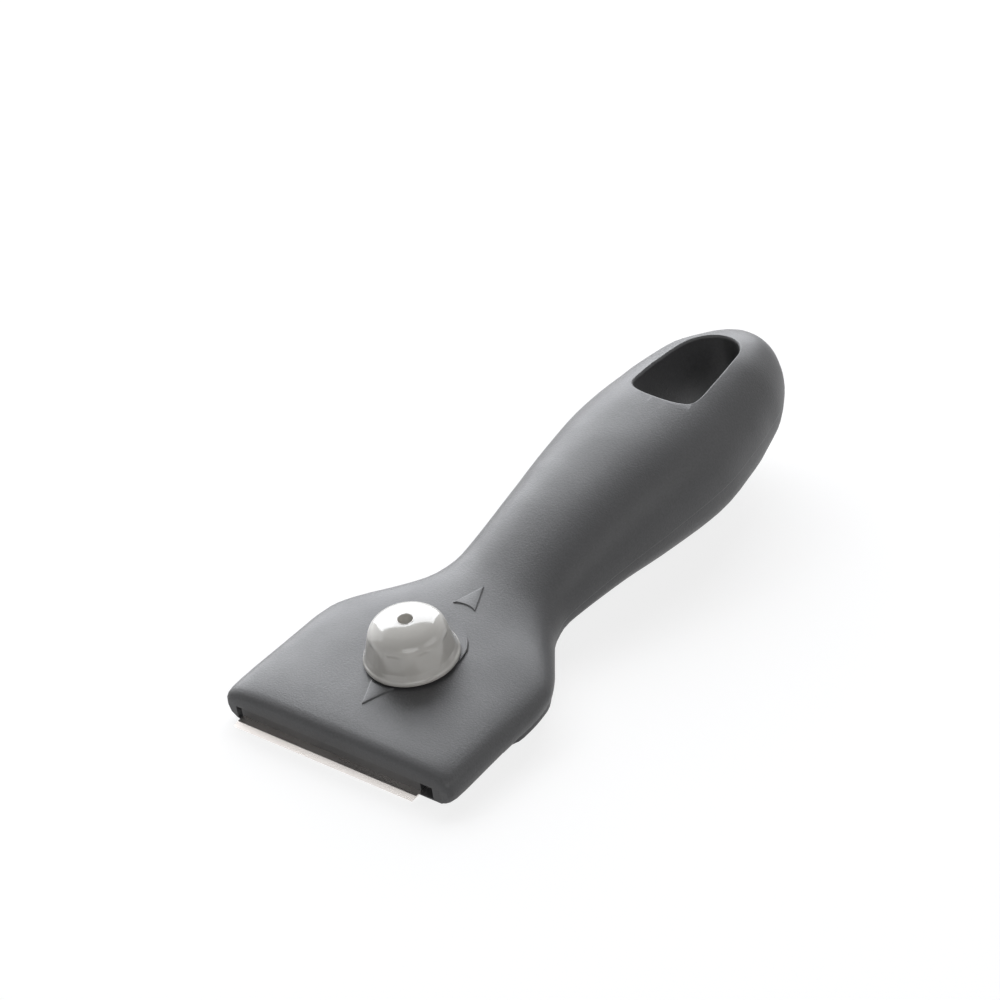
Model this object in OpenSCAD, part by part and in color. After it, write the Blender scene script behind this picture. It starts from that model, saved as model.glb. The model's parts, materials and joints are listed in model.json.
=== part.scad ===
// Ceramic hob scraper with a sliding blade and a clamping knob.
// The shapes below are drawn in tool coordinates: x to the right, y back from
// the blade's edge, z up from the blade's underside. placed() moves them to the
// middle of the object's footprint, with z = 0 at the lowest point of the grip.

/* [Overall] */
// Length from the blade's edge to the tail
overall_l = 128; // [124:1:134]
// Height of the joint between the two shells, under the blade
seam_z = -0.6; // [-0.8:0.05:-0.55]
// Wall of the hollow grip
wall = 2.4; // [1.8:0.2:3]

/* [Head and grip] */
// How far the widest part of the head reaches past each end of the blade
head_side = 5.3; // [4.8:0.1:6.5]
// Height of the grip's top over the blade's underside
grip_top = 12.6; // [12:0.2:14]
// Depth of the grip's belly under the blade's underside
grip_drop = 11.6; // [10:0.2:13]
// How far the front face stands behind the blade's edge
front_gap = 2.4; // [2:0.1:3]
// How far the lower shell starts behind the blade's edge
lower_front = 18.8; // [18.4:0.1:19.4]
// Thickness of the lower shell under the head
floor_t = 0.8; // [0.6:0.1:1.2]
// Height of the upright land at the shells' joint
land_h = 0.3; // [0.2:0.05:0.4]

/* [Hang hole] */
// Width of the hang hole at its front end
hang_w = 13.8; // [12:0.2:15]
// Width of the hang hole halfway
hang_mid_w = 11.2; // [10:0.2:12]
// Length of the hang hole
hang_l = 23.4; // [22:0.2:24]
// Distance from the hang hole's rear end to the tail
hang_tail = 6; // [5.5:0.1:7]
// Corner radius at the wide end
hang_corner_r = 1.4; // [1:0.1:2]
// Radius of the curved front edge
hang_front_r = 10.5; // [9:0.5:14]
// Radius of the narrow end
hang_tip_r = 3.1; // [2.4:0.1:3.6]

/* [Channel under the head] */
// Room in the channel at each end of a blade that lies in the middle
channel_room = 2.7; // [2.5:0.1:3.1]
// How far back the wide part of the channel reaches
channel_l = 27.5; // [26.5:0.5:28]
// How far back the tongue's part of the channel reaches
tongue_channel_l = 40.2; // [40:0.1:41]

/* [Blade] */
// Width of the blade
blade_w = 40; // [38:0.5:40.5]
// Depth of the blade
blade_l = 18.5; // [17.5:0.5:18.5]
// Thickness of the blade
blade_t = 0.3; // [0.2:0.05:0.35]
// Length of the ground bevel
bevel_l = 1.2; // [0.8:0.1:1.8]
// Thickness left at the cutting edge
edge_t = 0.02; // [0.01:0.01:0.05]
// Gap between the blade's left end and the channel's wall
blade_side_gap = 0.9; // [0.7:0.1:2.7]
// Diameter of the blade's locating holes
blade_hole_d = 3.2; // [2.8:0.1:3.6]
// Spacing of the locating holes
blade_hole_pitch = 24; // [20:0.5:28]
// Distance of the locating holes behind the cutting edge
blade_hole_y = 12; // [10:0.5:13]

/* [Blade carriage] */
// Thickness of the carriage
carriage_t = 2; // [1.8:0.1:2.1]
// How far the carriage stands behind the blade's edge
carriage_front = 2.7; // [2.5:0.1:3.2]
// Width of the carriage's rear tongue
tongue_w = 25; // [22:0.5:25.5]
// How far back the tongue reaches
tongue_l = 33; // [32:0.5:33]
// Clearance between a locating hole and its peg
peg_gap = 0.1; // [0.05:0.05:0.15]
// Travel from the extended blade to the drawn-in one
blade_travel = 6.6; // [6:0.1:6.8]
// Clearance round the sliding pieces
slide_gap = 0.15; // [0.1:0.05:0.2]

/* [Clamp plate and stud] */
// Thickness of the clamp plate
clamp_t = 0.5; // [0.4:0.05:0.5]
// How far the clamp plate's front edge stands behind the blade's edge
clamp_front = 4.4; // [4:0.1:5]
// How far the clamp plate's edges stay inside the blade and the tongue
clamp_inset = 1; // [0.5:0.1:1.5]
// Diameter of the stud
stud_d = 4; // [3.8:0.1:4.2]
// Diameter of the stud's flush head
stud_head_d = 7; // [6:0.5:8]
// Clearance of the stud's head in the clamp plate
press_gap = 0.01; // [0.01:0.01:0.02]
// Clearance between the stud and what turns or slides on it
stud_gap = 0.05; // [0.03:0.01:0.08]
// Clearance between the stud and the slot's sides
slot_gap = 0.2; // [0.1:0.05:0.3]

/* [Knob] */
// Distance of the knob's axis behind the blade's edge
knob_y = 24.8; // [24.4:0.1:25.2]
// Diameter over the flared rim
knob_d = 17.3; // [16.8:0.1:18]
// Height of the knob
knob_h = 8.35; // [7.8:0.05:8.8]
// Number of finger flutes
flutes = 8; // [6:1:9]
// Angle of the first flute from the front
flute_angle = 17; // [0:1:45]
// Radius of a flute
flute_r = 6; // [5:0.5:7]
// Depth of a flute at the rim
flute_depth = 0.65; // [0.4:0.05:0.8]
// Diameter of the hole in the knob's top
knob_hole_d = 2.8; // [2.2:0.1:3.2]
// Wall of the knob's skirt
skirt_t = 1.3; // [1.1:0.1:1.4]
// Diameter of the knob's hub
hub_d = 10; // [9.6:0.1:10.4]
// Diameter of the threaded insert
insert_d = 6.4; // [6:0.1:6.8]
// Length of the threaded insert
insert_l = 5.2; // [4.6:0.1:5.4]
// Depth of the grooves round the insert
groove_t = 0.3; // [0.2:0.05:0.4]
// Gap between the knob's rim and the raised seat
rim_gap = 0.15; // [0.1:0.05:0.4]
// Diameter of the pressure washer
washer_d = 12; // [11:0.5:13]
// Thickness of the pressure washer
washer_t = 0.5; // [0.4:0.05:0.6]

/* [Raised seat and arrows] */
// Radius of the raised seat round the slot
seat_r = 8.2; // [8:0.1:8.4]
// Distance of the seat's middle behind the knob's axis
seat_back = 2.6; // [2.4:0.1:3]
// Height of the seat and the arrows over the head
relief_h = 0.3; // [0.2:0.05:0.6]
// Width of an arrow
arrow_w = 4.9; // [4:0.1:5.5]
// Length of an arrow
arrow_l = 5.8; // [5:0.1:6.2]
// Distance of an arrow's tip from the slot's middle
arrow_tip = 17.5; // [17:0.1:18]

/* [Screws] */
// Diameter of a screw's shank
screw_d = 2.1; // [2:0.05:2.2]
// Clearance between a screw and its bore
screw_gap = 0.02; // [0.02:0.01:0.04]
// Clearance of a screw's head in its seat
head_gap = 0.1; // [0.05:0.05:0.15]
// Diameter of a countersunk head
flat_head_d = 4.4; // [4.2:0.1:4.6]
// Height of a countersunk head
flat_head_h = 1.2; // [1.1:0.05:1.3]
// Diameter of a pan head
pan_head_d = 4.4; // [4.2:0.1:4.6]
// Height of a pan head
pan_head_h = 1.6; // [1.4:0.1:1.8]
// Width of the cross recess in a screw's head
recess_w = 0.7; // [0.6:0.05:0.8]
// Depth of the cross recess in a screw's head
recess_h = 0.7; // [0.5:0.05:0.8]
// Distance of the head's screws inside the head's side edge
head_screw_side = 4.3; // [4.1:0.1:4.5]
// Distance of the head's screws behind the wide channel
head_screw_back = 4.9; // [4.7:0.1:5.1]
// Top of the bores for the head's screws
head_bore_top = 3.9; // [3.7:0.1:4]
// Diameter of the bosses round the head's screws
head_boss_d = 7; // [6.8:0.1:7.2]
// Height of the head's bosses over the joint
head_boss_h = 1.5; // [1.4:0.1:1.6]
// Distance of the grip's screws from the ends of the hollow
grip_screw_in = 6.2; // [5:0.2:7]
// Diameter of the bosses round the grip's screws
grip_boss_d = 6.8; // [6.4:0.1:7.2]
// Length of plastic between the joint and a pan head
grip_seat_t = 2; // [1.6:0.1:2.2]
// Length of a grip screw over the joint
grip_screw_reach = 7; // [6:0.5:7.5]

/* [Hidden] */
$fn = 64;
// Sides of the larger rings
ring_sides = 96;
// Overrun of a cut past the surface that it opens
over = 1;
// Shape of the body from the front face to the tail. A row holds the place
// along the body, the half width, the top's height over the joint, the height
// of the widest line over the joint, the depth under the joint, how square the
// top and the underside are, and how far the edge at the joint is drawn in.
body_shares = [
    [0, 0.968, 0.402, 0.197, 0, 5, 9, 0.128],
    [0.0024, 0.984, 0.455, 0.197, 0, 4.8, 9, 0.11],
    [0.0072, 0.994, 0.492, 0.197, 0, 4.8, 9, 0.091],
    [0.0175, 1, 0.511, 0.197, 0, 4.7, 9, 0.075],
    [0.0366, 1, 0.519, 0.197, 0, 4.6, 9, 0.067],
    [0.124, 0.996, 0.519, 0.197, 0, 3.4, 9, 0.067],
    [0.188, 1, 0.515, 0.197, 0, 2.6, 9, 0.067],
    [0.228, 0.976, 0.515, 0.19, 0, 2.4, 9, 0.063],
    [0.26, 0.901, 0.519, 0.174, 0, 2.3, 9, 0.05],
    [0.307, 0.727, 0.523, 0.114, 0.06, 2.2, 5, 0.025],
    [0.355, 0.553, 0.545, 0.06, 0.176, 2.2, 3.5, 0.01],
    [0.403, 0.482, 0.606, 0.03, 0.304, 2.4, 3, 0.004],
    [0.459, 0.49, 0.712, 0.03, 0.441, 2.4, 2.6, 0.004],
    [0.53, 0.522, 0.833, 0.03, 0.608, 2.4, 2.4, 0.004],
    [0.61, 0.577, 0.924, 0.03, 0.784, 2.4, 2.4, 0.004],
    [0.69, 0.628, 0.985, 0.03, 0.931, 2.4, 2.4, 0.004],
    [0.761, 0.656, 1, 0.03, 1, 2.3, 2.4, 0.004],
    [0.833, 0.62, 0.962, 0.03, 0.951, 2.3, 2.4, 0.004],
    [0.896, 0.545, 0.856, 0.03, 0.794, 2.3, 2.4, 0.004],
    [0.944, 0.45, 0.72, 0.03, 0.598, 2.3, 2.3, 0.004],
    [0.976, 0.344, 0.606, 0.03, 0.363, 2.3, 2.3, 0.004],
    [0.992, 0.255, 0.52, 0.03, 0.186, 2.3, 2.2, 0.004],
    [0.9984, 0.17, 0.4, 0.03, 0.05, 2.2, 2.2, 0.004],
    [1, 0.08, 0.25, 0.03, 0, 2.2, 2.2, 0.004]];
last_row = len(body_shares) - 1;
body_l = overall_l - front_gap;
// Steps round half a section and its drawn-in edge, between two rows, and over
// the tail's end
round_steps = 22;
edge_steps = 3;
row_steps = 3;
tail_steps = 6;
cavity_steps = 14;
arrow_steps = 16;
// Rows where the front edge's rounding ends, where the belly starts to deepen,
// and where the tail starts to close
front_row = 4;
neck_row = 8;
tail_row = 19;
// The hollow starts midway between this row and the next
cavity_row = 10;
// Sizes and heights that the pieces share
head_w = blade_w + 2 * head_side;
blade_shift = blade_side_gap - channel_room;
floor_z = seam_z - floor_t;
carriage_top = blade_t + carriage_t;
roof_z = carriage_top + slide_gap;
head_top = seam_z + height_share(knob_y) * (grip_top - seam_z);
seat_z = head_top + relief_h;
rim_z = seat_z + rim_gap;
hub_z = seat_z + washer_t;
knob_top = rim_z + knob_h;
insert_top = hub_z + insert_l;
stud_top = insert_top + stud_d / 8;
slot_mid = knob_y + blade_travel / 2;
channel_w = blade_w + 2 * channel_room;
hang_rear = overall_l - hang_tail;
hang_front = hang_rear - hang_l;
cavity_front = (row_y(cavity_row) + row_y(cavity_row + 1)) / 2;
cavity_rear = hang_front - wall;
grip_screw_ys = [cavity_front + grip_screw_in, cavity_rear - grip_screw_in];
head_screw_y = channel_l + head_screw_back;
head_screw_x = joint_width(head_screw_y) - head_screw_side;
// Knob's outline from the rim up, as shares of its radius and height
side_shares = [[0.985, 0], [1, 0.012], [1, 0.045], [0.975, 0.07], [0.94, 0.11], [0.918, 0.17], [0.9, 0.24],
               [0.876, 0.37], [0.852, 0.5], [0.836, 0.59]];
shoulder_share = 0.598;
shoulder_r_share = 0.834;
shoulder_square = 2.6;
shoulder_step = 7;
shoulder_end = 84;

// Place along the body of one row of the table
function row_y(i) = front_gap + body_shares[i][0] * body_l;
// Row that lies at or before a place along the body
function row_at(y, i = 0) = i >= last_row - 1 || y < row_y(i + 1) ? i : row_at(y, i + 1);
function secant(i, c) = (body_shares[i + 1][c] - body_shares[i][c]) / (row_y(i + 1) - row_y(i));
// Slope at a row that never overshoots its neighbours
function slope(i, c) =
    i == 0 ? secant(0, c) :
    i == last_row ? secant(last_row - 1, c) :
    let (a = secant(i - 1, c), b = secant(i, c))
    a * b <= 0 ? 0 : 2 * a * b / (a + b);
// Smooth value of one column of the table
function body_value(y, c) =
    let (i = row_at(y), h = row_y(i + 1) - row_y(i), f = min(1, max(0, (y - row_y(i)) / h)))
    body_shares[i][c] * (1 + 2 * f) * pow(1 - f, 2) + slope(i, c) * h * f * pow(1 - f, 2)
    + body_shares[i + 1][c] * f * f * (3 - 2 * f) - slope(i + 1, c) * h * f * f * (1 - f);
function half_width(y) = body_value(y, 1) * head_w / 2;
function height_share(y) = body_value(y, 2);
function top_height(y) = height_share(y) * (grip_top - seam_z);
function under_depth(y) = floor_t + body_value(y, 4) * (grip_drop + seam_z - floor_t);
// One point of a squared arc
function arc_share(angle, square) = sign(cos(angle)) * pow(abs(cos(angle)), 2 / square);
function rise_share(angle, square) = pow(abs(sin(angle)), 2 / square);
// Half width at the joint, where the edge is drawn in
function joint_width(y) = half_width(y) - body_value(y, 7) * head_w / 2;
// Half a section above the joint, or under it, drawn in by inset
function upper_ring(y, inset, base) =
    let (w = half_width(y) - inset, j = joint_width(y) - inset, m = body_value(y, 3) * (grip_top - seam_z),
         t = top_height(y) - inset, n = body_value(y, 5),
         edge = [for (k = [1:edge_steps]) let (a = 90 * k / edge_steps)
                    [j + (w - j) * sin(a), seam_z + m * (1 - cos(a))]])
    concat([[-j, y, seam_z - base]],
           [for (q = edge) [-q[0], y, q[1]]],
           [for (k = [1:round_steps - 1]) let (a = 180 * k / round_steps)
               [-w * arc_share(a, n), y, seam_z + m + (t - m) * rise_share(a, n)]],
           [for (k = [edge_steps - 1:-1:0]) [edge[k][0], y, edge[k][1]]],
           [[j, y, seam_z - base]]);
function lower_ring(y, inset, base) =
    let (j = joint_width(y) - inset, d = max(2 * land_h, under_depth(y) - inset), n = body_value(y, 6))
    concat([[j, y, seam_z + base]],
           [for (k = [0:round_steps]) let (a = 180 * k / round_steps)
               [j * arc_share(a, n), y, seam_z - land_h - (d - land_h) * rise_share(a, n)]],
           [[-j, y, seam_z + base]]);
// Places of the sections: on each row and between rows, closer at the tail
function even_ys(y0, y1, n) = [for (k = [0:n]) y0 + (y1 - y0) * k / n];
function row_ys(i0, i1) =
    [for (i = [i0:i1 - 1]) for (k = [0:row_steps - 1]) row_y(i) + (row_y(i + 1) - row_y(i)) * k / row_steps];
tail_ys = [for (k = [0:tail_steps]) row_y(tail_row) + (overall_l - row_y(tail_row)) * sin(90 * k / tail_steps)];
front_ys = [for (i = [0:front_row - 1]) row_y(i)];
upper_ys = concat(front_ys, row_ys(front_row, tail_row), tail_ys);
lower_ys = concat(row_ys(neck_row, tail_row), tail_ys);
cavity_ys = even_ys(cavity_front, cavity_rear, cavity_steps);
arrow_ys = even_ys(slot_mid - arrow_tip - over, slot_mid + arrow_tip + over, arrow_steps);

// Closed skin over a row of sections
module skin(rings) {
    n = len(rings[0]);
    last = len(rings) - 1;
    points = [for (r = rings) each r];
    polyhedron(points, concat(
        [[for (k = [0:n - 1]) k]],
        [[for (k = [n - 1:-1:0]) last * n + k]],
        [for (i = [0:last - 1]) for (k = [0:n - 1]) let (j = (k + 1) % n)
            each [[i * n + j, i * n + k, (i + 1) * n + k], [i * n + j, (i + 1) * n + k, (i + 1) * n + j]]]),
        convexity = 8);
}

// Plan of the hang hole: curved front edge, convex sides and a round rear end
module hang_plan() {
    spread = asin((hang_w / 2 - hang_corner_r) / (hang_front_r - hang_corner_r));
    hull() {
        for (f = [-1:0.25:1])
            translate([0, hang_front + hang_front_r]) rotate(f * spread)
                translate([0, hang_corner_r - hang_front_r]) circle(hang_corner_r, $fn = 32);
        translate([0, (hang_front + hang_rear) / 2]) circle(d = hang_mid_w);
        translate([0, hang_rear - hang_tip_r]) circle(hang_tip_r);
    }
}

// Hole for hanging, right through both shells
module hang_hole() {
    translate([0, 0, -grip_drop - over]) linear_extrude(grip_top + grip_drop + 2 * over) hang_plan();
}

// Straight slot with round ends along y
module slot_plan(d, y0, y1) {
    translate([0, y0]) circle(d = d);
    translate([0, y1]) circle(d = d);
    translate([-d / 2, y0]) square([d, y1 - y0]);
}

// Block centred on x, from y0 to y1 and from z0 to z1
module block(w, y0, y1, z0, z1) {
    translate([-w / 2, y0, z0]) cube([w, y1 - y0, z1 - z0]);
}

// Upright round post or bore
module post(d, x, y, z0, z1) {
    translate([x, y, z0]) cylinder(d = d, h = z1 - z0);
}

// Channel for the carriage, open at the front and underneath
module channel() {
    block(channel_w, front_gap - over, channel_l, seam_z - over, roof_z);
    block(tongue_w + 2 * slide_gap, channel_l - over, tongue_channel_l, seam_z - over, roof_z);
}

// Plan of an arrow that points back, with a hollow base round the knob
module arrow_plan() {
    base_r = arrow_tip - arrow_l + blade_travel / 2;
    difference() {
        polygon([[-arrow_w / 2, arrow_tip - arrow_l], [arrow_w / 2, arrow_tip - arrow_l], [0, arrow_tip]]);
        translate([0, -blade_travel / 2]) circle(base_r, $fn = ring_sides);
    }
}

// The two arrows, raised by the same height all over the curved head
module arrows() {
    intersection() {
        skin([for (y = arrow_ys) upper_ring(y, -relief_h, 0)]);
        translate([0, slot_mid, roof_z]) linear_extrude(grip_top) {
            arrow_plan();
            mirror([0, 1]) arrow_plan();
        }
    }
}

module placed() {
    translate([0, -overall_l / 2, grip_drop]) children();
}

// Head and upper half of the grip in one moulding
module upper_housing() {
    color("dimgray") placed() difference() {
        union() {
            difference() {
                skin([for (y = upper_ys) upper_ring(y, 0, 0)]);
                difference() {
                    skin([for (y = cavity_ys) upper_ring(y, wall, over)]);
                    for (y = grip_screw_ys) post(grip_boss_d, 0, y, seam_z, grip_top);
                }
            }
            translate([0, knob_y + seat_back, roof_z]) cylinder(r = seat_r, h = seat_z - roof_z, $fn = ring_sides);
            arrows();
        }
        channel();
        hang_hole();
        translate([0, 0, roof_z - over])
            linear_extrude(seat_z - roof_z + 2 * over)
                slot_plan(stud_d + 2 * slot_gap, knob_y, knob_y + blade_travel);
        for (s = [-1, 1]) {
            post(head_boss_d + 2 * slide_gap, s * head_screw_x, head_screw_y, seam_z - over,
                 seam_z + head_boss_h + slide_gap);
            post(screw_d + 2 * screw_gap, s * head_screw_x, head_screw_y, seam_z, head_bore_top);
        }
        for (y = grip_screw_ys)
            post(screw_d + 2 * screw_gap, 0, y, seam_z - over, seam_z + grip_screw_reach + slide_gap);
    }
}

// Plan of the floor under the head
module floor_plan() {
    ys = even_ys(lower_front, row_y(neck_row) + over, cavity_steps);
    polygon(concat([for (y = ys) [-joint_width(y), y]],
                   [for (k = [cavity_steps:-1:0]) [joint_width(ys[k]), ys[k]]]));
}

// Lower half of the grip with the thin floor that closes the head
module lower_shell() {
    color("dimgray") placed() difference() {
        union() {
            difference() {
                skin([for (y = lower_ys) lower_ring(y, 0, 0)]);
                difference() {
                    skin([for (y = cavity_ys) lower_ring(y, wall, over)]);
                    for (y = grip_screw_ys) post(grip_boss_d, 0, y, -grip_drop, seam_z);
                }
            }
            translate([0, 0, floor_z]) linear_extrude(floor_t) floor_plan();
            for (s = [-1, 1])
                post(head_boss_d, s * head_screw_x, head_screw_y, seam_z - floor_t / 2, seam_z + head_boss_h);
        }
        hang_hole();
        for (s = [-1, 1]) translate([s * head_screw_x, head_screw_y, 0]) {
            post(screw_d + 2 * screw_gap, 0, 0, floor_z, seam_z + head_boss_h + over);
            translate([0, 0, floor_z - head_gap])
                cylinder(d1 = flat_head_d + 4 * head_gap, d2 = screw_d, h = flat_head_h + 2 * head_gap);
        }
        for (y = grip_screw_ys) {
            post(screw_d + 2 * screw_gap, 0, y, -grip_drop, seam_z + over);
            post(pan_head_d + 2 * head_gap, 0, y, -grip_drop - over, seam_z - grip_seat_t);
        }
    }
}

// Cross recess that opens downward
module cross_recess(w) {
    translate([0, 0, recess_h / 2 - over / 2]) {
        cube([w, recess_w, recess_h + over], center = true);
        cube([recess_w, w, recess_h + over], center = true);
    }
}

// Two countersunk screws through the floor into the head
module head_screws() {
    color("silver") placed() for (s = [-1, 1]) translate([s * head_screw_x, head_screw_y, floor_z])
        difference() {
            union() {
                cylinder(d1 = flat_head_d, d2 = screw_d, h = flat_head_h);
                cylinder(d = screw_d, h = head_bore_top - floor_z - slide_gap);
            }
            cross_recess(flat_head_d / 2);
        }
}

// Two pan-head screws that hold the halves of the grip together
module grip_screws() {
    color("silver") placed() for (y = grip_screw_ys)
        translate([0, y, seam_z - grip_seat_t - pan_head_h]) difference() {
            union() {
                cylinder(d = pan_head_d, h = pan_head_h);
                cylinder(d = screw_d, h = pan_head_h + grip_seat_t + grip_screw_reach);
            }
            cross_recess(pan_head_d / 2);
        }
}

// Sliding tray over the blade, with pegs through the blade's holes
module blade_carriage() {
    rear = blade_l + slide_gap;
    color("dimgray") placed() difference() {
        union() {
            translate([blade_shift, 0, 0]) block(blade_w, carriage_front, rear + over, blade_t, carriage_top);
            translate([blade_shift, 0, 0]) block(blade_w - 2 * over, rear, rear + over, 0, carriage_top);
            block(tongue_w, rear, tongue_l, 0, carriage_top);
            for (s = [-1, 1])
                post(blade_hole_d - 2 * peg_gap, blade_shift + s * blade_hole_pitch / 2, blade_hole_y,
                     -clamp_t, carriage_top);
        }
        post(stud_d + 2 * stud_gap, 0, knob_y, -over, carriage_top + over);
    }
}

// Steel blade with one ground bevel and two locating holes
module blade() {
    color("silver") placed() translate([blade_shift, 0, 0]) difference() {
        rotate([90, 0, 90]) translate([0, 0, -blade_w / 2]) linear_extrude(blade_w)
            polygon([[0, 0], [blade_l, 0], [blade_l, blade_t], [bevel_l, blade_t], [0, edge_t]]);
        for (s = [-1, 1]) post(blade_hole_d, s * blade_hole_pitch / 2, blade_hole_y, -over, over);
    }
}

// Plan of the clamp plate: as wide as the blade in front, tapering to the tongue
module clamp_plan() {
    w = blade_w / 2 - clamp_inset;
    t = tongue_w / 2 - clamp_inset;
    polygon([[blade_shift - w, clamp_front], [blade_shift + w, clamp_front], [blade_shift + w, blade_hole_y],
             [t, blade_l], [t, tongue_l - clamp_inset], [-t, tongue_l - clamp_inset], [-t, blade_l],
             [blade_shift - w, blade_hole_y]]);
}

// Thin steel plate that presses the blade against the carriage
module clamp_plate() {
    color("silver") placed() difference() {
        translate([0, 0, -clamp_t]) linear_extrude(clamp_t) clamp_plan();
        post(stud_head_d + 2 * press_gap, 0, knob_y, -over, over);
        for (s = [-1, 1])
            post(blade_hole_d, blade_shift + s * blade_hole_pitch / 2, blade_hole_y, -over, over);
    }
}

// Stud with a flush head pressed into the clamp plate
module clamp_stud() {
    color("silver") placed() {
        post(stud_head_d, 0, knob_y, -clamp_t, 0);
        post(stud_d, 0, knob_y, -clamp_t, stud_top);
    }
}

// Washer between the knob's hub and the raised seat
module pressure_washer() {
    color("silver") placed() difference() {
        post(washer_d, 0, knob_y, seat_z, seat_z + washer_t);
        post(stud_d + 2 * stud_gap, 0, knob_y, seat_z - over, seat_z + over);
    }
}

// Half outline of the knob, closed on its axis
module knob_outline() {
    r = knob_d / 2;
    polygon(concat(
        [[0, 0]],
        [for (p = side_shares) [r * p[0], knob_h * p[1]]],
        [for (a = [shoulder_step:shoulder_step:shoulder_end])
            [r * shoulder_r_share * arc_share(a, shoulder_square),
             knob_h * (shoulder_share + (1 - shoulder_share) * rise_share(a, shoulder_square))]],
        [[0, knob_h]]));
}

// Domed knob with a flared rim, finger flutes and a socket for the insert
module knob() {
    color("darkgray") placed() translate([0, knob_y, rim_z]) difference() {
        rotate_extrude($fn = ring_sides) knob_outline();
        for (k = [0:flutes - 1]) rotate([0, 0, flute_angle - 90 + 360 * k / flutes])
            translate([knob_d / 2 * side_shares[4][0] - flute_depth + flute_r, 0, knob_h * side_shares[4][1]])
                cylinder(r = flute_r, h = knob_h);
        difference() {
            translate([0, 0, -over])
                cylinder(r1 = knob_d / 2 - skirt_t + over / 4, r2 = knob_d / 2 * shoulder_r_share - skirt_t,
                         h = knob_h / 2 + over);
            post(hub_d, 0, 0, -2 * over, knob_h);
        }
        post(hub_d + over, 0, 0, -over, hub_z - rim_z);
        post(insert_d + 2 * press_gap, 0, 0, -over, stud_top - rim_z + slide_gap);
        post(knob_hole_d, 0, 0, 0, knob_h + over);
    }
}

// Threaded insert in the knob's hub
module knob_insert() {
    color("goldenrod") placed() difference() {
        post(insert_d, 0, knob_y, hub_z, insert_top);
        post(stud_d + 2 * stud_gap, 0, knob_y, hub_z - over, insert_top + over);
        for (f = [1, 2]) translate([0, knob_y, hub_z + f * insert_l / 3]) difference() {
            cylinder(d = insert_d + over, h = groove_t, center = true);
            cylinder(d = insert_d - 2 * groove_t, h = over, center = true);
        }
    }
}

upper_housing();
lower_shell();
head_screws();
grip_screws();
blade_carriage();
blade();
clamp_plate();
clamp_stud();
pressure_washer();
knob();
knob_insert();
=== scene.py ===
import json
import math

import bmesh
import bpy
from mathutils import Matrix, Vector
from mathutils.bvhtree import BVHTree


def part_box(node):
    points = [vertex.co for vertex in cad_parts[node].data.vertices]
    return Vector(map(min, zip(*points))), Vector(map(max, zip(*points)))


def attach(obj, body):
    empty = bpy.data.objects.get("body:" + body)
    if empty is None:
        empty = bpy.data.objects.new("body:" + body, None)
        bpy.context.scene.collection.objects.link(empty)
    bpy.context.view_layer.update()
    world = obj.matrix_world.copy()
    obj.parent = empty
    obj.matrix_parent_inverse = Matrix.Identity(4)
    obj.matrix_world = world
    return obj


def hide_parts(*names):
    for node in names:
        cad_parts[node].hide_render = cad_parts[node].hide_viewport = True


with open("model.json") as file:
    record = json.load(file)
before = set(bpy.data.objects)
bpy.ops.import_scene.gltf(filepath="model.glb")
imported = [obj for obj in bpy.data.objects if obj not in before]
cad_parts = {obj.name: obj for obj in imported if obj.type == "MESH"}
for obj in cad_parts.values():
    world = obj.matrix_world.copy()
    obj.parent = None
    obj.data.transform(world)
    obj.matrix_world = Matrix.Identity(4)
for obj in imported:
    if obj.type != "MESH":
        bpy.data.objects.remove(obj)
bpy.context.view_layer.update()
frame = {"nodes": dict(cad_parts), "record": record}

mm = 0.001
scene = bpy.context.scene
scene.view_settings.view_transform = "Standard"


def link(name, data):
    piece = bpy.data.objects.new(name, data)
    scene.collection.objects.link(piece)
    return piece


# Camera, at the photograph's angle

cameraSetup = {
    "azimuth": 43.478,       # degrees, 0 looks along +Y
    "elevation": 38.723,
    "roll": -9.793,
    "distance": 1.0,         # from the aim to the lens
    "aim": (-17.78 * mm, 8.25 * mm, 11.6 * mm),
    "lens": 197.84,          # mm, like the sensor's width
    "sensor": 36,
    "nearest": 0.01,
}


def cameraAxes(setup):
    azimuth, elevation, roll = (math.radians(setup[k]) for k in ("azimuth", "elevation", "roll"))
    back = Vector((math.sin(azimuth) * math.cos(elevation),
                   -math.cos(azimuth) * math.cos(elevation),
                   math.sin(elevation)))
    right = (-back).cross(Vector((0, 0, 1))).normalized()
    up = right.cross(-back)
    rolledRight = math.cos(roll) * right + math.sin(roll) * up
    rolledUp = -math.sin(roll) * right + math.cos(roll) * up
    return rolledRight, rolledUp, back


def addCamera(setup):
    right, up, back = cameraAxes(setup)
    lens = bpy.data.cameras.new("camera")
    lens.lens = setup["lens"]
    lens.sensor_width = setup["sensor"]
    lens.clip_start = setup["nearest"]
    camera = link("camera", lens)
    place = Vector(setup["aim"]) + back * setup["distance"]
    turn = Matrix((right, up, back)).transposed().to_4x4()
    camera.matrix_world = Matrix.Translation(place) @ turn
    scene.camera = camera


addCamera(cameraSetup)
print("camera placed")

# Small helpers for meshes and shader trees


def toMesh(form, name):
    mesh = bpy.data.meshes.new(name)
    form.to_mesh(mesh)
    form.free()
    return mesh


def addNode(tree, kind, **values):
    node = tree.nodes.new("ShaderNode" + kind)
    for name, value in values.items():
        setattr(node, name, value)
    return node


def connect(tree, source, target):
    tree.links.new(source, target)


# A number or a colour is set on the socket, and another socket is linked to it
def feed(tree, value, socket):
    if isinstance(value, bpy.types.NodeSocket):
        connect(tree, value, socket)
    else:
        socket.default_value = value


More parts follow.
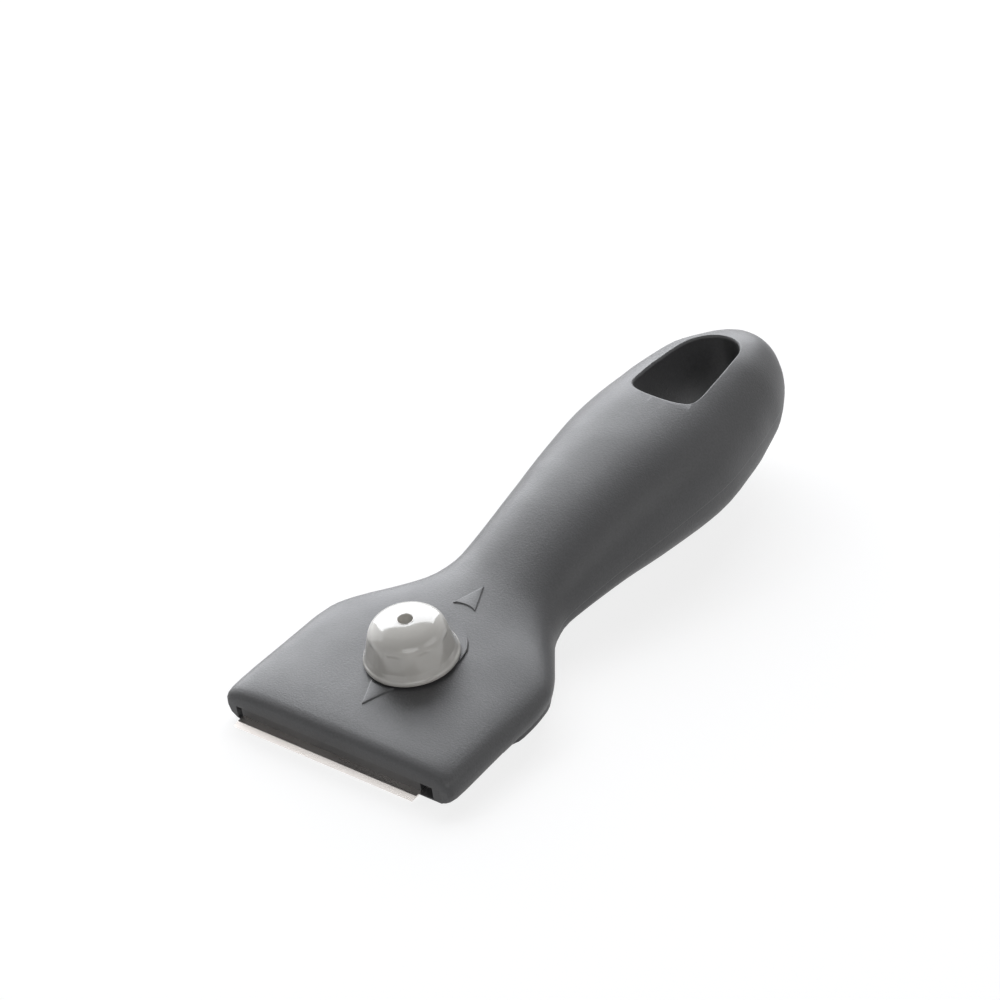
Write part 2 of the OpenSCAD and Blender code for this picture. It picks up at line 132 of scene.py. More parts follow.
def newGroup(name, inputs, outputs):
    group = bpy.data.node_groups.new(name, "ShaderNodeTree")
    for label, kind, value in inputs:
        socket = group.interface.new_socket(name=label, in_out="INPUT",
                                            socket_type="NodeSocket" + kind)
        if value is not None:
            socket.default_value = value
    for label, kind in outputs:
        group.interface.new_socket(name=label, in_out="OUTPUT",
                                   socket_type="NodeSocket" + kind)
    return group, group.nodes.new("NodeGroupInput"), group.nodes.new("NodeGroupOutput")


def addNoise(tree, vector, scale, detail, roughness):
    noise = addNode(tree, "TexNoise")
    connect(tree, vector, noise.inputs["Vector"])
    feed(tree, scale, noise.inputs["Scale"])
    noise.inputs["Detail"].default_value = detail
    noise.inputs["Roughness"].default_value = roughness
    return noise.outputs["Fac"]


def remap(tree, value, low, high, outLow, outHigh):
    node = addNode(tree, "MapRange")
    connect(tree, value, node.inputs["Value"])
    for label, number in (("From Min", low), ("From Max", high),
                          ("To Min", outLow), ("To Max", outHigh)):
        node.inputs[label].default_value = number
    return node.outputs["Result"]


def mixColours(tree, factor, first, second):
    node = addNode(tree, "Mix", data_type="RGBA")
    connect(tree, factor, node.inputs["Factor"])
    feed(tree, first, node.inputs["A"])
    feed(tree, second, node.inputs["B"])
    return node.outputs["Result"]


def doMath(tree, operation, first, second):
    node = addNode(tree, "Math", operation=operation)
    feed(tree, first, node.inputs[0])
    feed(tree, second, node.inputs[1])
    return node.outputs["Value"]


# Moulded plastic: spark-eroded grain, cloudy tone and the faint polish that hands leave

mouldLook = {
    # each noise's scale, detail and roughness; a finish gives the grain's scale
    "grain": (3.0, 0.6),
    "cloud": (45.0, 4.0, 0.55),
    "handled": (110.0, 3.0, 0.5),
    # part of a noise's range that is used
    "toneRange": (0.3, 0.7),
    "polishRange": (0.35, 0.65),
    "grainShare": 0.55,      # of the change between the dark and the light tone
    "cloudShare": 0.45,
}


def makeMouldGroup(look):
    group, start, end = newGroup("mouldedPlastic", [
        ("Vector", "Vector", None), ("Dark Tone", "Color", (0.08, 0.08, 0.08, 1)),
        ("Light Tone", "Color", (0.1, 0.1, 0.1, 1)), ("Grain Scale", "Float", 3200.0),
        ("Roughness", "Float", 0.5), ("Polish", "Float", 0.06)],
        [("Color", "Color"), ("Roughness", "Float"), ("Height", "Float")])
    vector = start.outputs["Vector"]
    grain = addNoise(group, vector, start.outputs["Grain Scale"], *look["grain"])
    cloud = addNoise(group, vector, *look["cloud"])
    handled = addNoise(group, vector, *look["handled"])
    speckle = remap(group, grain, *look["toneRange"], 0.0, 1.0)
    cloudMask = remap(group, cloud, *look["toneRange"], 0.0, 1.0)
    blend = doMath(group, "ADD", doMath(group, "MULTIPLY", speckle, look["grainShare"]),
                   doMath(group, "MULTIPLY", cloudMask, look["cloudShare"]))
    colour = mixColours(group, blend, start.outputs["Dark Tone"], start.outputs["Light Tone"])
    polish = doMath(group, "MULTIPLY", remap(group, handled, *look["polishRange"], -1.0, 1.0),
                    start.outputs["Polish"])
    roughness = doMath(group, "ADD", start.outputs["Roughness"], polish)
    connect(group, colour, end.inputs["Color"])
    connect(group, roughness, end.inputs["Roughness"])
    connect(group, grain, end.inputs["Height"])
    return group


# Worked metal: fine lines along one direction, with stains that also dull it

metalLook = {
    # as above; a finish gives the lines' scale
    "lines": (4.0, 0.65),
    "stains": (160.0, 5.0, 0.6),
    "lineRange": (0.3, 0.7),
    "stainRange": (0.52, 0.72),
    "lineSpread": 0.06,      # change of roughness that the lines make
    "stainSpread": 0.2,      # and that the stains make
}


def makeMetalGroup(look):
    group, start, end = newGroup("workedMetal", [
        ("Vector", "Vector", None), ("Base Tone", "Color", (0.6, 0.6, 0.6, 1)),
        ("Stain Tone", "Color", (0.4, 0.36, 0.33, 1)), ("Line Scale", "Float", 900.0),
        ("Stain", "Float", 0.3), ("Roughness", "Float", 0.3)],
        [("Color", "Color"), ("Roughness", "Float"), ("Height", "Float")])
    vector = start.outputs["Vector"]
    lines = addNoise(group, vector, start.outputs["Line Scale"], *look["lines"])
    stains = addNoise(group, vector, *look["stains"])
    stainMask = doMath(group, "MULTIPLY", remap(group, stains, *look["stainRange"], 0.0, 1.0),
                       start.outputs["Stain"])
    colour = mixColours(group, stainMask, start.outputs["Base Tone"], start.outputs["Stain Tone"])
    roughness = doMath(group, "ADD", start.outputs["Roughness"],
                       remap(group, lines, *look["lineRange"],
                             -look["lineSpread"], look["lineSpread"]))
    roughness = doMath(group, "ADD", roughness,
                       doMath(group, "MULTIPLY", stainMask, look["stainSpread"]))
    connect(group, colour, end.inputs["Color"])
    connect(group, roughness, end.inputs["Roughness"])
    connect(group, lines, end.inputs["Height"])
    return group


mouldGroup = makeMouldGroup(mouldLook)
metalGroup = makeMetalGroup(metalLook)


def newMaterial(name, group, settings, stretch=(1, 1, 1)):
    material = bpy.data.materials.new(name)
    material.use_nodes = True
    tree = material.node_tree
    shader = tree.nodes["Principled BSDF"]
    place = addNode(tree, "TexCoord")
    mapping = addNode(tree, "Mapping")
    mapping.inputs["Scale"].default_value = stretch
    connect(tree, place.outputs["Object"], mapping.inputs["Vector"])
    finish = addNode(tree, "Group", node_tree=group)
    connect(tree, mapping.outputs["Vector"], finish.inputs["Vector"])
    for label, value in settings["finish"].items():
        finish.inputs[label].default_value = value
    bump = addNode(tree, "Bump")
    bump.inputs["Strength"].default_value = settings["bump"]
    bump.inputs["Distance"].default_value = settings["depth"]
    connect(tree, finish.outputs["Height"], bump.inputs["Height"])
    connect(tree, finish.outputs["Color"], shader.inputs["Base Color"])
    connect(tree, finish.outputs["Roughness"], shader.inputs["Roughness"])
    connect(tree, bump.outputs["Normal"], shader.inputs["Normal"])
    for label, value in settings.get("shader", {}).items():
        shader.inputs[label].default_value = value
    return material


housingFinish = {
    "finish": {
        "Dark Tone": (0.048, 0.048, 0.0495, 1),
        "Light Tone": (0.073, 0.073, 0.0757, 1),
        "Grain Scale": 2600.0,
        "Roughness": 0.46,
        "Polish": 0.03,
    },
    "bump": 0.45, "depth": 0.12 * mm,
    "shader": {"IOR": 1.5},
}
carriageFinish = {
    "finish": {
        "Dark Tone": (0.04, 0.04, 0.041, 1),
        "Light Tone": (0.06, 0.06, 0.061, 1),
        "Grain Scale": 2600.0,
        "Roughness": 0.5,
        "Polish": 0.05,
    },
    "bump": 0.4, "depth": 0.04 * mm,
}
knobFinish = {
    "finish": {
        "Dark Tone": (0.64, 0.618, 0.575, 1),
        "Light Tone": (0.68, 0.658, 0.615, 1),
        "Grain Scale": 420.0,
        "Roughness": 0.14,
        "Polish": 0.03,
    },
    "bump": 0.03, "depth": 0.02 * mm,
    "shader": {"IOR": 1.5, "Coat Weight": 0.6, "Coat Roughness": 0.03},
}
bladeFinish = {
    "finish": {
        "Base Tone": (0.68, 0.645, 0.62, 1),
        "Stain Tone": (0.42, 0.35, 0.31, 1),
        "Line Scale": 500.0,
        "Stain": 0.3,
        "Roughness": 0.27,
    },
    "bump": 0.04, "depth": 0.01 * mm,
    "shader": {"Metallic": 1.0},
}
plateFinish = {
    "finish": {
        "Base Tone": (0.52, 0.52, 0.52, 1),
        "Stain Tone": (0.36, 0.34, 0.32, 1),
        "Line Scale": 800.0,
        "Stain": 0.3,
        "Roughness": 0.36,
    },
    "bump": 0.25, "depth": 0.01 * mm,
    "shader": {"Metallic": 1.0},
}
zincFinish = {
    "finish": {
        "Base Tone": (0.6, 0.61, 0.62, 1),
        "Stain Tone": (0.42, 0.42, 0.44, 1),
        "Line Scale": 1500.0,
        "Stain": 0.4,
        "Roughness": 0.28,
    },
    "bump": 0.2, "depth": 0.01 * mm,
    "shader": {"Metallic": 1.0},
}
brassFinish = {
    "finish": {
        "Base Tone": (0.72, 0.55, 0.28, 1),
        "Stain Tone": (0.45, 0.3, 0.14, 1),
        "Line Scale": 1400.0,
        "Stain": 0.3,
        "Roughness": 0.3,
    },
    "bump": 0.2, "depth": 0.01 * mm,
    "shader": {"Metallic": 1.0},
}
materials = {
    "housing": newMaterial("mattGreyHousing", mouldGroup, housingFinish),
    "carriage": newMaterial("darkCarriage", mouldGroup, carriageFinish),
    "knob": newMaterial("glossyKnob", mouldGroup, knobFinish),
    "blade": newMaterial("groundBlade", metalGroup, bladeFinish, (0.08, 1, 1)),
    "plate": newMaterial("rolledPlate", metalGroup, plateFinish, (1, 0.1, 1)),
    "fastener": newMaterial("zincFastener", metalGroup, zincFinish),
    "insert": newMaterial("turnedBrass", metalGroup, brassFinish, (1, 1, 6)),
}
print("materials ready:", len(materials))


def wear(piece, slotName):
    piece.data.materials.clear()
    piece.data.materials.append(materials[slotName])


# Smooth copies of the two shells: wider behind the waist and at the tip, slimmer at the hang hole,
# with a blunter tail and one clean hang hole through both

shellSetup = {
    "merge": 0.002 * mm,     # corners closer than this are one
    "sharp": 32.0,           # degrees, past which an edge stays crisp
    "seam": 11 * mm,         # height of the joint between the shells
    "seamSlack": 0.01 * mm,  # corners this little over the seam still count as the lower shell's
    "feltFrom": 100 * mm,    # height over or under the tool from where its surface is felt
    # each table: place along the tool in mm, and the value there
    # share added to the width
    "widen": [(-24, 0), (-12, 0.03), (0, 0.05), (12, 0.04), (24, 0.018), (42, -0.028),
              (47, -0.025), (58, 0.035), (64, 0.055)],
    # step under the head: how far in mm the thin floor's rim stands out
    "step": [(-42, 0), (-41.3, 0.7), (-33, 0.7), (-25, 0)],
    "stepFrom": 18,          # mm across where the step begins and where it is whole
    "stepTo": 21.5,
    # blunter tail: share added to the height over the seam
    "lift": [(38, 0), (45, 0.035), (48, 0.075), (51, 0.11), (54, 0.135), (57, 0.15),
             (60, 0.16), (64, 0.16)],
    # how far in mm the tail moves forward
    "shift": [(46, 0), (52, 0.4), (58, 0.9), (61, 0.5), (64, 0)],
}
holeSetup = {
    # right half of the outline in mm from the front edge's middle to the tip
    "half": [(0, 34.4), (2.5, 34.55), (4.5, 35.05), (5.8, 35.75), (6.5, 36.6), (6.8, 37.9),
             (6.78, 40), (6.5, 43), (6.2, 45.6), (5.85, 48.2), (5.45, 50.6), (5, 52.6),
             (4.45, 54.1), (3.65, 55.4), (2.45, 56.45), (1.2, 56.98), (0, 57.1)],
    "perStretch": 5,
    "rimRadius": 0.6 * mm,
    "rimSteps": 6,
    "rimOver": 0.5 * mm,     # how far the cutter stands out of the shell
    "pastSeam": 1 * mm,      # and how far its core reaches past the joint
    "probe": 0.35 * mm,      # how far outside the outline the surface is felt for
}


# Value of a table at a place, eased between its rows
def tableAt(table, place):
    if place <= table[0][0]:
        return table[0][1]
    for (start, low), (end, high) in zip(table, table[1:]):
        if place <= end:
            t = (place - start) / (end - start)
            return low + (high - low) * t * t * (3 - 2 * t)
    return table[-1][1]


def reshape(point, setup):
    place = point.y / mm
    across = (abs(point.x) / mm - setup["stepFrom"]) / (setup["stepTo"] - setup["stepFrom"])
    if point.z < setup["seam"] + setup["seamSlack"] and across > 0:
        point.x += math.copysign(min(across, 1) * tableAt(setup["step"], place) * mm, point.x)
    point.x *= 1 + tableAt(setup["widen"], place)
    if point.z > setup["seam"]:
        point.z += (point.z - setup["seam"]) * tableAt(setup["lift"], place)
    point.y -= tableAt(setup["shift"], place) * mm


def mergedCopy(nodeName, setup):
    mesh = frame["nodes"][nodeName].data.copy()
    form = bmesh.new()
    form.from_mesh(mesh)
    bmesh.ops.remove_doubles(form, verts=form.verts, dist=setup["merge"])
    bmesh.ops.dissolve_degenerate(form, edges=form.edges, dist=setup["merge"])
    for vert in form.verts:
        reshape(vert.co, setup)
    clean = toMesh(form, nodeName + "_copy")
    bpy.data.meshes.remove(mesh)
    return clean


def smoothByAngle(mesh, degrees):
    form = bmesh.new()
    form.from_mesh(mesh)
    for face in form.faces:
        face.smooth = True
    for edge in form.edges:
        edge.smooth = edge.is_manifold and edge.calc_face_angle(0) < math.radians(degrees)
    form.to_mesh(mesh)
    form.free()


def smoothPiece(name, mesh, degrees):
    smoothByAngle(mesh, degrees)
    return link(name, mesh)


# Points along a smooth curve through the given ones
def smoothLine(points, perStretch):
    line = []
    count = len(points)
    for k in range(count - 1):
        before, here = Vector(points[max(k - 1, 0)]), Vector(points[k])
        there, after = Vector(points[k + 1]), Vector(points[min(k + 2, count - 1)])
        for i in range(perStretch):
            t = i / perStretch
            straight = 2 * here + (there - before) * t
            square = (2 * before - 5 * here + 4 * there - after) * t * t
            cubic = (3 * here - before - 3 * there + after) * t ** 3
            line.append(0.5 * (straight + square + cubic))
    return line + [Vector(points[-1])]


def quarterTurns(steps):
    return [math.pi / 2 * k / steps for k in range(steps + 1)]


def holeOutline(setup):
    right = smoothLine(setup["half"], setup["perStretch"])
    left = [Vector((-p.x, p.y)) for p in reversed(right[1:-1])]
    return [Vector((p.x, p.y, 0)) * mm for p in right + left]


def outwardNormals(points):
    normals = []
    for k in range(len(points)):
        along = points[(k + 1) % len(points)] - points[k - 1]
        normals.append(Vector((along.y, -along.x, 0)).normalized())
    return normals


# Gives the height of a shell's outer surface, side 1 from above and -1 from below
def surfaceFinder(mesh, side):
    tree = BVHTree.FromPolygons([v.co for v in mesh.vertices], [p.vertices for p in mesh.polygons])

    def find(point):
        start = Vector((point.x, point.y, side * shellSetup["feltFrom"]))
        return tree.ray_cast(start, Vector((0, 0, -side)))[0].z
    return find


# A closed skin over rings with the same count of points
def loftRings(rings, name):
    form = bmesh.new()
    loops = []
    for ring in rings:
        verts = [form.verts.new(p) for p in ring]
        loops.append([form.edges.new((verts[k - 1], verts[k])) for k in range(len(verts))])
    for first, second in zip(loops, loops[1:]):
        bmesh.ops.bridge_loops(form, edges=first + second)
    for loop in (loops[0], loops[-1]):
        bmesh.ops.contextual_create(form, geom=loop)
    bmesh.ops.recalc_face_normals(form, faces=form.faces)
    return toMesh(form, name)


# The hole's core, which widens to a round rim where it leaves the shell
def holeCutter(shellMesh, side, setup):
    outline = holeOutline(setup)
    normals = outwardNormals(outline)
    find = surfaceFinder(shellMesh, side)
    heights = [find(p + n * setup["probe"]) for p, n in zip(outline, normals)]
    radius = setup["rimRadius"]
    start = shellSetup["seam"] - side * setup["pastSeam"]
    rings = [[Vector((p.x, p.y, start)) for p in outline]]
    steps = [(radius * (1 - math.cos(a)), -radius * (1 - math.sin(a)))
             for a in quarterTurns(setup["rimSteps"])]
    steps.append((radius + setup["rimOver"], setup["rimOver"]))
    for outward, rise in steps:
        ring = [p + n * outward for p, n in zip(outline, normals)]
        rings.append([Vector((p.x, p.y, h + side * rise)) for p, h in zip(ring, heights)])
    # one level ring clear of the shell keeps the cutter's end flat
    clear = side * (max(side * h for h in heights) + 2 * setup["rimOver"])
    rings.append([Vector((p.x, p.y, clear)) for p in rings[-1]])
    return loftRings(rings, "holeCutter")


def cutWith(piece, cutterMesh):
    cutter = link("cutter", cutterMesh)
    cut = piece.modifiers.new("cut", "BOOLEAN")
    cut.object = cutter
    cut.operation = "DIFFERENCE"
    cut.solver = "EXACT"
    bpy.context.view_layer.update()
    evaluated = piece.evaluated_get(bpy.context.evaluated_depsgraph_get())
    result = bpy.data.meshes.new_from_object(evaluated)
    piece.modifiers.clear()
    piece.data = result
    bpy.data.objects.remove(cutter)


# Raised arrows, the rib behind the knob and the guides in the channel's mouth

arrowSetup = {
    "middle": -35.9 * mm,    # halfway between the arrows
    "tip": 17.5 * mm,        # from the middle
    "length": 5.8 * mm,
    "width": 4.9 * mm,
    "hollow": 6.2 * mm,      # radius of the hollow base
    "height": 0.21 * mm,
    "round": 0.14 * mm,      # radius of the upper edge
    "slant": 0.17 * mm,      # how far the foot stands out
    "sink": 0.3 * mm,        # how deep the foot reaches into the head
    "baseSteps": 12,
    "sideSteps": 8,
    "roundSteps": 4,
    "sharp": 50.0,           # degrees
    # the copy's own arrows: circle of the hollow base, and where and how their faces are told
    "oldCentre": -3.3 * mm,
    "oldHollow": 15 * mm,
    "oldAbove": 16 * mm,
    "oldFlat": 0.7,          # least upward share of a face's normal
    "oldDrop": 0.3 * mm,     # how far they sink
    "merge": 0.03 * mm,      # their corners closer than this are one
    "tiny": 0.002 * mm,      # edges shorter than this go
}
ribSetup = {
    "centre": (0, -37.3 * mm),
    "outerRadius": 8.8 * mm,
    "width": 1.1 * mm,
    "height": 0.5 * mm,      # the washer slides over it
    "startAngle": 24,        # degrees from +X
    "steps": 64,
    "acrossSteps": 10,
    "endSwell": 0.12,        # least square of the swell at the ends
    "sink": 0.3 * mm,
    "sharp": 50.0,
    "level": (12 * mm, -39.2 * mm, 0),     # place beside the knob where the head's top is felt
}
railSetup = {
    "front": -61.5 * mm,
    "bevel": 0.1 * mm,
    "sharp": 50.0,
    # corners in mm across and up, and where each guide ends
    "guides": {
        "channel_rail": {"section": [(22.75, 11.02), (18.5, 11.02), (18.5, 11.3), (20.9, 11.3),
                                     (20.9, 14.3), (22.75, 14.3)],
                         "back": -40 * mm},
        "right_ledge": {"section": [(18.6, 11.02), (17.4, 11.02), (17.4, 11.3), (18.6, 11.3)],
                        "back": -59.2 * mm},
        "left_ledge": {"section": [(-22.75, 11.02), (-22.75, 11.3), (-21.9, 11.3), (-21.9, 11.02)],
                       "back": -40 * mm},
    },
}


# The copy's own arrows sink into the head, because finer ones take their place
def sinkArrows(mesh, setup):
    form = bmesh.new()
    form.from_mesh(mesh)
    raised = set()
    for face in form.faces:
        middle = face.calc_center_median()
        along = abs(middle.y - setup["middle"])
        inTriangle = abs(middle.x) < setup["width"] / 2 * (setup["tip"] - along) / setup["length"]
        onBase = math.hypot(middle.x, along - setup["oldCentre"]) < setup["oldHollow"]
        flat = face.normal.z > setup["oldFlat"] and middle.z > setup["oldAbove"]
        if flat and inTriangle and not onBase and along > setup["tip"] - setup["length"]:
            raised.update(face.verts)
    for vert in raised:
        vert.co.z -= setup["oldDrop"]
    near = [v for v in form.verts if abs(v.co.x) < setup["width"] and v.co.z > setup["oldAbove"]]
    bmesh.ops.remove_doubles(form, verts=near, dist=setup["merge"])
    bmesh.ops.dissolve_degenerate(form, edges=form.edges, dist=setup["tiny"])
    form.to_mesh(mesh)
    form.free()
    print("corners of the old arrows sunk:", len(raised))


# Tip, hollow base and straight sides, with way 1 to the rear and -1 to the front
def arrowOutline(setup, way):
    base = setup["tip"] - setup["length"]
    half = setup["width"] / 2
    hollow = setup["hollow"]
    reach = math.sqrt(hollow ** 2 - half ** 2)
    spread = math.asin(half / hollow)
    points = [Vector((0, setup["tip"], 0))]
    for k in range(setup["baseSteps"] + 1):
        turn = spread - 2 * spread * k / setup["baseSteps"]
        points.append(Vector((-hollow * math.sin(turn), base - reach + hollow * math.cos(turn), 0)))
    edge = []
    for k, point in enumerate(points):
        after = points[(k + 1) % len(points)]
        count = setup["sideSteps"] if k in (0, len(points) - 1) else 1
        edge += [point.lerp(after, i / count) for i in range(count)]
    placed = [Vector((p.x, setup["middle"] + way * p.y, 0)) for p in edge]
    return placed if way > 0 else placed[::-1]


def buildArrow(name, setup, way, find):
    outline = arrowOutline(setup, way)
    normals = outwardNormals(outline)
    radius = setup["round"]
    steps = [(setup["slant"], -setup["sink"]), (setup["slant"], 0)]
    steps += [(-radius * (1 - math.cos(a)), setup["height"] - radius * (1 - math.sin(a)))
              for a in quarterTurns(setup["roundSteps"])]
    rings = []
    for outward, rise in steps:
        ring = [p + n * outward for p, n in zip(outline, normals)]
        rings.append([Vector((p.x, p.y, find(p) + rise)) for p in ring])
    return smoothPiece(name, loftRings(rings, name), setup["sharp"])


def buildRib(name, setup, find):
    base = find(Vector(setup["level"]))
    print("head's top at", round(base / mm, 3))
    centre = setup["centre"]
    rings = []
    span = math.radians(180 - 2 * setup["startAngle"])
    for k in range(setup["steps"] + 1):
        share = k / setup["steps"]
        turn = math.radians(setup["startAngle"]) + span * share
        # the ends round off over the rib's own width
        fromEnd = min(share, 1 - share) * span * setup["outerRadius"] / (setup["width"] / 2)
        swell = math.sqrt(max(setup["endSwell"], 1 - max(0.0, 1 - fromEnd) ** 2))
        ring = []
        for i in range(setup["acrossSteps"] + 1):
            bend = math.pi * i / setup["acrossSteps"]
            across = setup["outerRadius"] - setup["width"] / 2 * (1 - math.cos(bend) * swell)
            ring.append(Vector((centre[0] + across * math.cos(turn),
                                centre[1] + across * math.sin(turn),
                                base + setup["height"] * math.sin(bend) * swell)))
        ring += [Vector((p.x, p.y, base - setup["sink"])) for p in (ring[-1], ring[0])]
        rings.append(ring)
    return smoothPiece(name, loftRings(rings, name), setup["sharp"])


# Guide beside or under the blade: a section drawn in X and Z, pushed along the channel
def buildRail(name, guide, setup):
    form = bmesh.new()
    verts = [form.verts.new((x * mm, setup["front"], z * mm)) for x, z in guide["section"]]
    face = form.faces.new(verts)
    pushed = bmesh.ops.extrude_face_region(form, geom=[face])["geom"]
    bmesh.ops.translate(form, verts=[g for g in pushed if isinstance(g, bmesh.types.BMVert)],
                        vec=(0, guide["back"] - setup["front"], 0))
    bmesh.ops.bevel(form, geom=form.edges[:], offset=setup["bevel"], offset_type="OFFSET",
                    affect="EDGES", segments=3, profile=0.5, material=-1, clamp_overlap=True)
    bmesh.ops.recalc_face_normals(form, faces=form.faces)
    return smoothPiece(name, toMesh(form, name), setup["sharp"])


def finishPiece(piece, slotName, body, *replaced):
    wear(piece, slotName)
    if replaced:
        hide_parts(*replaced)
    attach(piece, body)
    print("finished:", piece.name, len(piece.data.polygons), "faces")


for nodeName, pieceName, side in (("upper_housing", "upper_shell", 1),
                                  ("lower_shell", "under_shell", -1)):
    shell = link(pieceName, mergedCopy(nodeName, shellSetup))
    if side > 0:
        sinkArrows(shell.data, arrowSetup)
        findHead = surfaceFinder(shell.data, side)
    cutWith(shell, holeCutter(shell.data, side, holeSetup))
    smoothByAngle(shell.data, shellSetup["sharp"])
    finishPiece(shell, "housing", "housing", nodeName)
for name, way in (("arrow_rear", 1), ("arrow_front", -1)):
    finishPiece(buildArrow(name, arrowSetup, way, findHead), "housing", "housing")
finishPiece(buildRib("seat_rib", ribSetup, findHead), "housing", "housing")
for name, guide in railSetup["guides"].items():
    finishPiece(buildRail(name, guide, railSetup), "housing", "housing")

# Knob: one profile spun round the stud, then its wall drawn in at each flute

knobSetup = {
    "diameter": 17.3 * mm,
    # wall and shoulder as shares of the radius and the height, from the rim up
    "profile": [(0.985, 0), (0.997, 0.006), (1, 0.02), (0.998, 0.045), (0.987, 0.077),
                (0.969, 0.107), (0.955, 0.142), (0.942, 0.187), (0.924, 0.25), (0.897, 0.37),
                (0.868, 0.5), (0.842, 0.61), (0.812, 0.7), (0.771, 0.775), (0.716, 0.836),
                (0.648, 0.885), (0.566, 0.926), (0.468, 0.957), (0.363, 0.979), (0.262, 0.991),
                (0.18, 0.996)],
    "perStretch": 5,
    "innerShare": 0.853,     # radius share of the wall that the inside follows
    "innerTop": 0.55,        # height share up to which the inside has no flutes
    "holeDiameter": 2.6 * mm,
    "holeRound": 0.2 * mm,
    "holeSteps": 5,
    "skirt": 1.3 * mm,       # thickness of the wall
    "hubDiameter": 10 * mm,
    "socketDiameter": 6.42 * mm,
    "socketHeightShare": 0.742,
    "hubRise": 0.35 * mm,
    "flutes": 8,
    "fluteAngle": 17 - 90,   # degrees, of the first one
    "fluteSharpness": 1.15,
    # flute's depth in mm by height share
    "fluteDepths": [(0.06, 0), (0.12, 0.08), (0.25, 0.17), (0.45, 0.22), (0.6, 0.22),
                    (0.7, 0.07), (0.76, 0)],
    "spinSteps": 256,
    "merge": 0.001 * mm,
    "sharp": 40.0,
}


def buildKnob(setup):
    low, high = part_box("knob")
    radius = setup["diameter"] / 2
    height = high.z - low.z
    axis = Vector(((low.x + high.x) / 2, (low.y + high.y) / 2, 0))
    wall = smoothLine([(radius * r, height * h) for r, h in setup["profile"]], setup["perStretch"])
    hole, lipRound = setup["holeDiameter"] / 2, setup["holeRound"]
    lip = [Vector((hole + lipRound - lipRound * math.sin(a),
                   height - lipRound + lipRound * math.cos(a)))
           for a in quarterTurns(setup["holeSteps"])]
    hub, socket = setup["hubDiameter"] / 2, setup["socketDiameter"] / 2
    socketTop = height * setup["socketHeightShare"]
    innerRadius = radius * setup["innerShare"]
    inside = [(hole, socketTop), (socket, socketTop), (socket, setup["hubRise"]),
              (hub, setup["hubRise"]), (hub, height / 2),
              (innerRadius - setup["skirt"], height / 2), (radius - setup["skirt"], 0)]
    form = bmesh.new()
    verts = [form.verts.new((axis.x + p[0], axis.y, low.z + p[1])) for p in wall + lip + inside]
    edges = [form.edges.new((verts[k - 1], verts[k])) for k in range(len(verts))]
    bmesh.ops.spin(form, geom=verts + edges, cent=axis, axis=(0, 0, 1), angle=math.tau,
                   steps=setup["spinSteps"], use_merge=True)
    bmesh.ops.remove_doubles(form, verts=form.verts, dist=setup["merge"])
    bmesh.ops.recalc_face_normals(form, faces=form.faces)
    innerLimit = innerRadius - setup["skirt"] / 2
    for vert in form.verts:
        arm = vert.co - axis
        arm.z = 0
        rise = (vert.co.z - low.z) / height
        if arm.length < innerLimit and rise < setup["innerTop"]:
            continue
        turn = math.atan2(arm.y, arm.x) - math.radians(setup["fluteAngle"])
        wave = (0.5 + 0.5 * math.cos(setup["flutes"] * turn)) ** setup["fluteSharpness"]
        vert.co -= arm.normalized() * wave * tableAt(setup["fluteDepths"], rise) * mm
    return smoothPiece("knob_cap", toMesh(form, "knob_cap"), setup["sharp"])


finishPiece(buildKnob(knobSetup), "knob", "knob", "knob")

# The other pieces keep their own meshes and get their finish

nodeSlots = {row["node"]: row["material_slot"] for row in frame["record"]["subparts"]}
for nodeName, node in frame["nodes"].items():
    if not node.hide_render:
        wear(node, nodeSlots[nodeName])
print("carried pieces finished")

# Floor under the front walls and the belly, and soft light, most of it from behind

stageSetup = {
    "floorSize": 4.0,
    "floorCells": 8,
    "floorGap": 0.02 * mm,   # under the lowest corners
    "frontBand": 1 * mm,     # depth of the front where its lowest corner is looked for
    "bellyFrom": 30 * mm,    # behind the front, where the belly's slope counts
    "floorColour": (0.86, 0.86, 0.86, 1),
    "floorRoughness": 0.9,
    "floorSeen": (0.27, 0.27, 0.27, 1),    # under the glow that the lens sees
    "floorWhite": 0.8,
    "worldFill": 0.0,
    "worldShine": 1.0,       # what gloss and the lens see
    "lampDistance": 1.2,
}
softboxes = {
    # direction from the aim, width, height and power in watts
    "backBox": {"direction": (-0.62, 0.68, 0.42), "width": 1.4, "height": 1.1, "power": 26.0,
                "colour": (0.94, 0.96, 1)},
    "leftBox": {"direction": (-0.92, 0.10, 0.42), "width": 1.2, "height": 1.1, "power": 4.2,
                "colour": (0.98, 0.99, 1)},
    "rightBox": {"direction": (0.85, 0.25, 0.5), "width": 0.8, "height": 0.7, "power": 1.6,
                 "colour": (1, 1, 1)},
    "frontBox": {"direction": (0.55, -0.65, 0.6), "width": 0.8, "height": 0.6, "power": 2.6,
                 "colour": (1, 1, 1)},
}


def lowestSlope(setup):
    corners = [v.co for name in ("upper_housing", "lower_shell")
               for v in frame["nodes"][name].data.vertices]
    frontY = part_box("upper_housing")[0].y
    frontZ = min(c.z for c in corners if c.y < frontY + setup["frontBand"])
    slope = min((c.z - frontZ) / (c.y - frontY) for c in corners
                if c.y > frontY + setup["bellyFrom"])
    return frontY, frontZ, slope


# 1 for what the lens, gloss and clear things see directly, else 0
def seenDirectly(tree):
    path = addNode(tree, "LightPath")
    seen = doMath(tree, "ADD", path.outputs["Is Camera Ray"], path.outputs["Is Glossy Ray"])
    return doMath(tree, "ADD", seen, path.outputs["Is Transmission Ray"])


